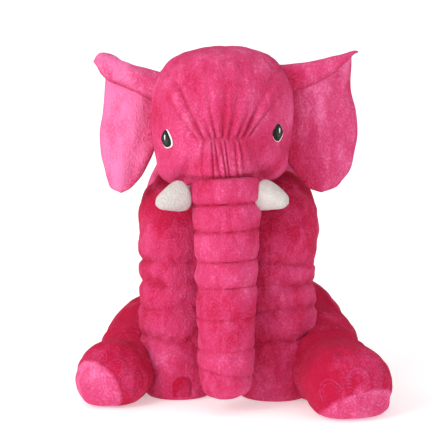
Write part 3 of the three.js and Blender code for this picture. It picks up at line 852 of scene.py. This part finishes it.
def make_torso():
    """Level rounded cross-sections, full in the middle; a seam runs down the back, and small drawn
    folds cross it. Shrinking copies of the lowest section close the underside flat."""
    knots = np.linspace(0, 1, len(TORSO_SECTIONS))
    s = np.linspace(0, 1, 120)
    z, wide, fore, back = (flow(s, knots, v)[:, None] for v in TORSO_SECTIONS.T)
    turn = turns(200, -math.pi)
    depth = np.where(np.cos(turn) > 0, fore, back)
    x = wide * squarer(np.sin(turn), 0.92)
    y = -depth * squarer(np.cos(turn), 0.92)
    side = np.stack(np.broadcast_arrays(x, y, z), axis=-1)
    floor = np.stack([side[0] * (share, share, 1) for share in (0.05, 0.35, 0.65, 0.9)])
    grid = turned_body(np.concatenate((floor, side)))
    free = smoothstep(grid[..., 2], 0.004, 0.03)
    off_seam = np.abs(np.abs(turn) - math.pi) * 0.12
    back_seam = hump(off_seam, 0, 0.0025) * free
    pull = hump(off_seam, 0, 0.016) * free
    height = free * (0.0035 * soft_noise(grid, 0.055, 61) + 0.0012 * soft_noise(grid, 0.02, 62))
    height += pull * (-0.004 + 0.0016 * np.sin(grid[..., 2] * 420 + 2 * np.sin(grid[..., 2] * 90)))
    height -= 0.0022 * back_seam
    grid = pushed(grid, height - 0.003 * free)
    held = np.clip(1 - free + back_seam + smoothstep(grid[..., 2], 0.42, 0.45), 0, 1)
    grid = filled(grid, held, 0.007)
    grid[..., 2] = np.maximum(grid[..., 2], 0)
    shade = np.clip(back_seam * 0.6 + pull * 0.1, 0, 1)
    marks = {"crease": shade, "nap": 0.3 * soft_noise(grid, 0.07, 63)}
    torso = shell("torso_cover", grid, PINK, marks)
    nodes = ("torso_cover_left", "torso_cover_right", "torso_filling")
    finish_piece(torso, "torso", nodes)


def make_neck():
    """Two short soft collars round the neck, one above the other."""
    for name, low, high, a, b in (
        ("collar_low", 0.340, 0.392, "torso", "neck"),
        ("collar_high", 0.392, 0.440, "neck", "head"),
    ):
        t = np.linspace(0, 1, 24)
        z = low + (high - low) * t
        radius = 0.074 + 0.003 * np.sin(math.pi * t)
        grid = np.stack([trunk_ring(r, h, 96) for r, h in zip(radius, z)], axis=0)
        grid = grid + np.array((NECK[0], NECK[1] - 0.01, 0))
        grid = pushed(grid, 0.0012 * soft_noise(grid, 0.02, 71))
        # The collars are darkened all over: painted shade under the head.
        collar = shell(name, grid, PINK, {"crease": np.full(grid.shape[:2], 0.2)})
        finish_piece(collar, None, ("neck_filling",))
        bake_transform(collar)


# ---- Forelegs ----------------------------------------------------------------------------
FORELEG_SECTIONS = np.array(  # height and radius
    [
        (0.0, 0.0545), (0.006, 0.0605), (0.020, 0.0650), (0.045, 0.0675), (0.085, 0.0690),
        (0.13, 0.0690), (0.175, 0.0690), (0.215, 0.0700), (0.26, 0.0715), (0.30, 0.0715),
        (0.335, 0.0680), (0.365, 0.0560), (0.385, 0.0350), (0.393, 0.008),
    ]
)
FORELEG_CREASES = [(0.106, 0.9), (0.155, 0.8), (0.195, 1.0), (0.234, 0.9)]
FORELEG_LOOKS = {
    "left": {"shift": 0.0065, "wide": 1.05, "lean": 0.005, "seam": -0.16, "seam_depth": 1.0,
             "strongest": 0.75, "nail": None, "nap": -0.12, "seed": 5},
    "right": {"shift": -0.0035, "wide": 1.0, "lean": 0.018, "seam": -0.10, "seam_depth": 0.35,
              "strongest": -1.0, "nail": 0.14, "nap": -0.10, "seed": 0},
}
FORELEG_POST = 0.068  # the clear round space that a hind leg leaves for the foreleg beside it


def foreleg_folds(side, turn, z):
    """Drawn-in folds round a foreleg: deep where they start at its outer side, and puckered."""
    look = FORELEG_LOOKS[side]
    height, shade = np.zeros_like(z), np.zeros_like(z)
    ring = np.stack((np.cos(turn), np.sin(turn), np.zeros_like(turn)), axis=-1)
    for i, (level, depth) in enumerate(FORELEG_CREASES):
        seed = 100 + 10 * i + look["seed"]
        wavy = level + 0.0060 * soft_noise(ring * 1.9, 1.0, seed) + 0.003 * np.sin(turn + i)
        outer = 0.5 + 0.5 * np.cos(turn - look["strongest"])
        uneven = 0.75 + 0.5 * soft_noise(ring * 2.3, 1.0, seed + 1)
        strength = depth * (0.12 + 0.88 * outer**1.6) * uneven
        off = z - wavy
        under = np.where(off < 0, 0.0055, 0.0085)
        height -= strength * (0.0062 * hump(off, 0, under) + 0.0016 * hump(off, 0, 0.0022))
        shade += strength * (0.36 * hump(off, 0, 0.0020) + 0.30 * hump(off, 0.003, 0.008))
        folds = soft_noise(ring * 5.5, 1.0, seed + 2)
        height += 0.0030 * folds * (0.4 + 0.6 * outer) * np.exp(-np.abs(off) / 0.013)
    seam = hump((turn - look["seam"]) * 0.068, 0, 0.0016)
    seam = seam * smoothstep(z, 0.02, 0.06) * (1 - smoothstep(z, 0.30, 0.34))
    seam = seam * look["seam_depth"]
    return height - 0.0018 * seam, shade + 0.22 * seam


def foreleg_lean(side, z):
    """How far a foreleg stands forward towards its foot."""
    return FORELEG_LOOKS[side]["lean"] * (1 - smoothstep(z, 0.0, 0.22))


def arch_mask(across, upward, half, tall, edge):
    """An upright arch: 1 inside, 0 outside, and a bell along its outline."""
    top = np.sqrt((across / half) ** 2 + (np.maximum(upward - (tall - half), 0) / half) ** 2)
    inside = 1 - smoothstep(top, 1 - edge, 1 + edge)
    line = hump(top, 1, edge) * smoothstep(upward, -0.002, 0.001)
    return inside * smoothstep(upward, -0.002, 0.001), line


def make_forelegs():
    """An upright round leg with drawn folds, its top leaning back into the chest and dented where
    the head hangs over it."""
    for side in SIDES:
        look = FORELEG_LOOKS[side]
        at = middle(f"foreleg_cover_{side}") * (1, 1, 0) + (look["shift"], 0, 0)
        steps = np.linspace(0, FORELEG_SECTIONS[-1, 0], 900)
        weight = 1 + sum(1.2 * hump(steps, level, 0.01) for level, _ in FORELEG_CREASES)
        z = spread(steps, weight + 1.5 * (1 - smoothstep(steps, 0.0, 0.05)), 200)
        radius = flow(z, *FORELEG_SECTIONS.T)
        z = np.concatenate((np.zeros(5), z))
        radius = np.concatenate((radius[0] * np.array((0.05, 0.3, 0.55, 0.75, 0.9)), radius))
        turn, z = np.meshgrid(turns(176, -math.pi), z)
        x, y = look["wide"] * radius[:, None] * np.sin(turn), -radius[:, None] * np.cos(turn)
        y += 0.050 * smoothstep(z, 0.27, 0.39) - foreleg_lean(side, z)
        grid = np.stack((x, y, z), axis=-1) + at
        under_head = 1 - smoothstep(np.abs(grid[..., 0] - HEAD[0]), 0.075, 0.118)
        grid[..., 2] -= 0.024 * smoothstep(z, 0.330, 0.380) * under_head
        height, shade = foreleg_folds(side, turn, z)
        height += 0.0030 * soft_noise(grid, 0.032, 81) + 0.0012 * soft_noise(grid, 0.012, 82)
        # Painted shade: darker towards the top, under the head and beside the chest.
        nap = look["nap"] + 0.22 * soft_noise(grid, 0.05, 83) - 0.45 * smoothstep(z, 0.16, 0.32)
        if look["nail"] is not None:
            inside, line = arch_mask((turn - look["nail"]) * 0.066, z - 0.006, 0.0165, 0.036, 0.07)
            height += 0.0016 * inside - 0.0014 * line
            shade += 0.50 * line + 0.22 * inside
            nap -= 0.5 * inside
        free = smoothstep(z, 0.001, 0.016) * (1 - smoothstep(z, 0.376, 0.391))
        grid = pushed(grid, height * free - 0.002 * free)
        held = 1 - free * (1 - np.clip(1.6 * shade, 0, 1))
        grid = filled(grid, held, 0.005)
        grid[..., 2] = np.maximum(grid[..., 2], 0)
        marks = {"crease": np.clip(shade * free, 0, 1), "nap": nap}
        leg = shell(f"foreleg_{side}", grid, PINK, marks)
        nodes = [f"foreleg_{part}_{side}" for part in ("cover", "filling", "sole")]
        nodes += [f"foreleg_nail_{side}_{i}" for i in (1, 2)]
        finish_piece(leg, None, nodes)
        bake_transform(leg)


# ---- Hind legs ---------------------------------------------------------------------------
# rim: how strongly each foot's nail stitches are painted lighter, a painted highlight.
HIND = {
    "left": {
        "hip": (0.137, 0.090, 0.088), "haunch": (0.086, 0.100), "foot": (0.1990, -0.1655, 0.046),
        "radius": 0.0690, "sole": (0.29, -0.54, -0.79), "spread": 0.53, "rim": 1.0,
        "nails": [(-0.42, -0.90, 0.02), (0.18, -0.93, 0.26), (0.78, -0.55, 0.22)],
    },
    "right": {
        "hip": (-0.129, 0.125, 0.068), "haunch": (0.078, 0.080), "foot": (-0.186, -0.098, 0.044),
        "radius": 0.0590, "sole": (-0.58, -0.76, -0.30), "spread": 0.62, "rim": 0.6,
        "nails": [(0.12, -0.94, 0.42), (-0.40, -0.72, 0.60), (0.55, -0.83, 0.05)],
    },
}


HIND_LENGTH = 0.40  # about the length of a hind leg, which its folds are spaced by
ANKLE_FOLDS = ((0.47, 0.0022), (0.56, 0.0036), (0.635, 0.0050))  # share of the length, depth


def hind_path(side, rows):
    """A hind leg's centre line from behind its hip to the front of its foot, with its half-widths:
    full at the haunch, narrow at the ankle, round at the foot and closed at both ends."""
    leg = HIND[side]
    shift = NECK * (1, 1, 0) - (0.002, 0.048, 0)
    hip, foot = leg["hip"] + shift, leg["foot"] + shift
    ahead = (foot - hip) * (1, 1, 0)
    length = np.linalg.norm(ahead)
    ahead = ahead / length
    (wide, tall), r = leg["haunch"], leg["radius"]
    whole = wide + length + r
    s = np.linspace(0, whole, 900)
    weight = 1 + 2.5 * smoothstep(s, whole - 2.2 * r, whole - r) + smoothstep(0.03 - s, 0, 0.03)
    s = spread(s, weight, rows)
    level = flow(s, [0, wide, wide + 0.5 * length, wide + length, whole],
                 [hip[2], hip[2], (hip[2] + foot[2]) / 2 - 0.004, foot[2], foot[2] + 0.002])
    path = hip + ahead * (s - wide)[:, None]
    path[:, 2] = level
    back = (1 - np.clip(1 - s / wide, 0, 1) ** 2.2) ** 0.5
    front = (1 - np.clip(1 - (whole - s) / r, 0, 1) ** 2.3) ** (1 / 2.3)
    ends = np.maximum(back * front, 0.012)
    knots = [0, *(wide + share * length for share in (0, 0.35, 0.62, 0.82, 1)), whole]
    across = flow(s, knots, [wide, wide, 0.92 * wide, 0.90 * r, 0.95 * r, r, r]) * ends
    upward = flow(s, knots, [tall, tall, 0.84 * tall, 0.88 * r, 0.93 * r, r, r]) * ends
    return path, across, upward, ahead, foot, s / whole


def pressed(grid, side):
    """Keeps a leg above the floor and outside the round side of the foreleg next to it."""
    post = np.broadcast_to(middle(f"foreleg_cover_{side}")[:2], (*grid.shape[:2], 2)).copy()
    post[..., 1] -= foreleg_lean(side, grid[..., 2])
    away = grid[..., :2] - post
    far = np.maximum(np.linalg.norm(away, axis=-1), 1e-6)
    clear = (far + FORELEG_POST + np.sqrt((far - FORELEG_POST) ** 2 + 0.004**2)) / 2
    z = grid[..., 2]
    return np.concatenate(
        (
            post + away * (clear / far)[..., None],
            np.maximum((z + np.sqrt(z**2 + 0.006**2)) / 2 - 0.0008, 0)[..., None],
        ),
        axis=-1,
    )


def foot_marks(side, grid, foot):
    """The paler sole and the toenails of a foot, found by direction from its middle: how high the
    cloth is there, its painted shade along the sole's seam and between the nail stitches, and its
    tone, with painted highlights on the nail stitches."""
    leg = HIND[side]
    ray = grid - foot
    ray = ray / np.maximum(np.linalg.norm(ray, axis=-1, keepdims=True), 1e-9)
    sole_at = np.array(leg["sole"]) / np.linalg.norm(leg["sole"])
    toward = ray @ sole_at
    sole = smoothstep(toward, leg["spread"] - 0.05, leg["spread"] + 0.05)
    edge = hump(toward, leg["spread"], 0.035)
    height = -0.0008 * edge
    shade = 0.26 * edge
    nap = 0.38 * sole - 0.75 * (1 - sole)
    for nail in leg["nails"]:
        out = np.array(nail) / np.linalg.norm(nail)
        down = sole_at - out * (sole_at @ out)
        down /= np.linalg.norm(down)
        side_on = np.cross(down, out)
        across, upward = ray @ side_on, -(ray @ down)
        reach = np.sqrt((across / 0.24) ** 2 + (upward / 0.30) ** 2)
        facing = smoothstep(ray @ out, 0.6, 0.75) * (1 - sole)
        # Painted highlight on the raised nail stitches, painted shade in the gaps beside them.
        rim = (hump(reach, 1.0, 0.09) + 0.8 * hump(reach, 0.76, 0.08)) * facing * leg["rim"]
        gap = (hump(reach, 0.88, 0.06) + 0.8 * hump(reach, 1.15, 0.07)) * facing
        height += 0.0014 * rim - 0.0010 * gap
        nap += 0.60 * rim
        shade += 0.35 * gap
    return height, shade, nap


def make_hind_legs():
    """The legs that lie forward at both sides, each with ankle folds and a paler sole."""
    for side in SIDES:
        path, across, upward, ahead, foot, t = hind_path(side, 190)
        grid = swept(path, across, upward, 190)
        turn, along = np.meshgrid(turns(190), t)
        height, shade, nap = foot_marks(side, grid, foot)
        for i, (at, depth) in enumerate(ANKLE_FOLDS):
            off = along - at - 0.018 * np.sin(turn + 1.4 * i) - 0.007 * np.sin(3 * turn + 2 * i)
            off *= HIND_LENGTH
            height -= depth * (hump(off, 0, 0.0075) + 0.4 * hump(off, 0, 0.0020))
            shade += depth / 0.005 * (0.45 * hump(off, 0, 0.0020) + 0.18 * hump(off, 0, 0.007))
        height += 0.0034 * soft_noise(grid, 0.045, 91) + 0.0014 * soft_noise(grid, 0.015, 92)
        ends = np.minimum(smoothstep(along, 0, 0.04), smoothstep(1 - along, 0, 0.012))
        grid = pressed(pushed(grid, (height - 0.002) * ends), side)
        low = 1 - smoothstep(grid[..., 2], 0.002, 0.012)
        held = np.clip(1 - ends + low + 1.6 * shade, 0, 1)
        grid = pressed(filled(grid, held, 0.004), side)
        nap += 0.25 * soft_noise(grid, 0.05, 93)
        marks = {"crease": np.clip(shade, 0, 1), "nap": nap}
        leg = shell(f"hind_leg_{side}", grid, PINK, marks)
        nodes = [f"hind_leg_{part}_{side}" for part in ("cover", "filling")]
        nodes += [f"hind_sole_{side}", *(f"hind_nail_{side}_{i}" for i in (1, 2, 3))]
        finish_piece(leg, None, nodes)
        start = HINGE[f"hip_swing_{side}"] + ahead * 0.005
        tuple(start + ahead * 0.05)
        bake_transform(leg)


# ---- Tail --------------------------------------------------------------------------------
def make_tail():
    """A short round cord of plush that hangs from the back, with a fuller tuft at its end."""
    low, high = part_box("tail")
    top = np.array(((low[0] + high[0]) / 2, low[1] + 0.010, high[2]))
    tip_low, tip_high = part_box("tail_tuft")
    end = np.array(((tip_low[0] + tip_high[0]) / 2, (tip_low[1] + tip_high[1]) / 2, tip_low[2]))
    t = np.linspace(0, 1, 90)
    path = line_through([end, (end + top) / 2 + (0.004, 0.006, 0), top + (0, -0.004, 0),
                         top + (-0.006, -0.040, 0.010)], t)
    radius = flow(t, [0, 0.015, 0.07, 0.14, 0.20, 0.23, 0.3, 1],
                  [0.001, 0.006, 0.0125, 0.0135, 0.0095, 0.0070, 0.0078, 0.0085])
    grid = swept(path, radius, radius, 64)
    grid = pushed(grid, 0.0008 * soft_noise(grid, 0.01, 98))
    shade = round_rings(hump(t, 0.225, 0.010), 64)
    tail = shell("tail_cover", grid, PINK, {"crease": shade})
    finish_piece(tail, "tail", ("tail", "tail_tuft"))


# ---- Stage -------------------------------------------------------------------------------
def make_stage():
    """A pale floor like a wide shallow dish, a large soft key from the upper left, and a camera."""
    scene = bpy.context.scene
    scene.view_settings.view_transform = "Standard"
    rows, columns = 60, 96
    reach = np.linspace(5.5, 0.02, rows)[:, None]
    rise = 2.6 * smoothstep(reach, 2.9, 5.5) - 0.0005
    turn = turns(columns)
    rings = np.broadcast_arrays(reach * np.cos(turn), reach * np.sin(turn), rise)
    f = Finish("pale_floor")
    f.set(
        Base_Color=(0.90, 0.90, 0.90),
        Roughness=0.9,
        Emission_Color=(1.0, 1.0, 1.0),
        Emission_Strength=0.38,
    )
    faces = ring_faces(rows, columns) + [tuple(range((rows - 1) * columns, rows * columns))]
    floor = piece_of("floor", np.stack(rings, axis=-1), faces, f.material)
    world = bpy.data.worlds.new("studio")
    world.use_nodes = True
    world.node_tree.nodes["Background"].inputs["Color"].default_value = (1, 1, 1, 1)
    world.node_tree.nodes["Background"].inputs["Strength"].default_value = 0.49
    scene.world = world
    for name, at, aim, size, power in (
        ("key", (-2.3, -2.1, 1.7), (0, 0, 0.30), 1.7, 57),
        ("fill", (2.2, -2.4, 1.0), (0, 0, 0.25), 2.2, 13.5),
        ("top", (-0.4, -0.3, 2.6), (0, 0, 0.3), 1.8, 10),
    ):
        light = bpy.data.lights.new(name, "AREA")
        light.size = size
        light.energy = power
        holder = bpy.data.objects.new(name, light)
        direction = np.array(aim, float) - np.array(at, float)
        yaw = math.atan2(direction[0], direction[1])
        pitch = math.atan2(direction[2], math.hypot(direction[0], direction[1]))
        holder.rotation_euler = (math.pi / 2 + pitch, 0, -yaw)
        holder.location = at
        scene.collection.objects.link(holder)
    camera = bpy.data.cameras.new("camera")
    camera.lens = 84.7
    camera.sensor_width = 36
    holder = bpy.data.objects.new("camera", camera)
    holder.location = (-0.0036, -1.896, 0.45)
    holder.rotation_euler = (math.radians(90 - 4.8), 0, 0)
    scene.collection.objects.link(holder)
    scene.camera = holder


make_stage()
make_head()
make_eyes()
make_tusks()
make_trunk()
make_ears()
make_torso()
make_neck()
make_forelegs()
make_hind_legs()
make_tail()
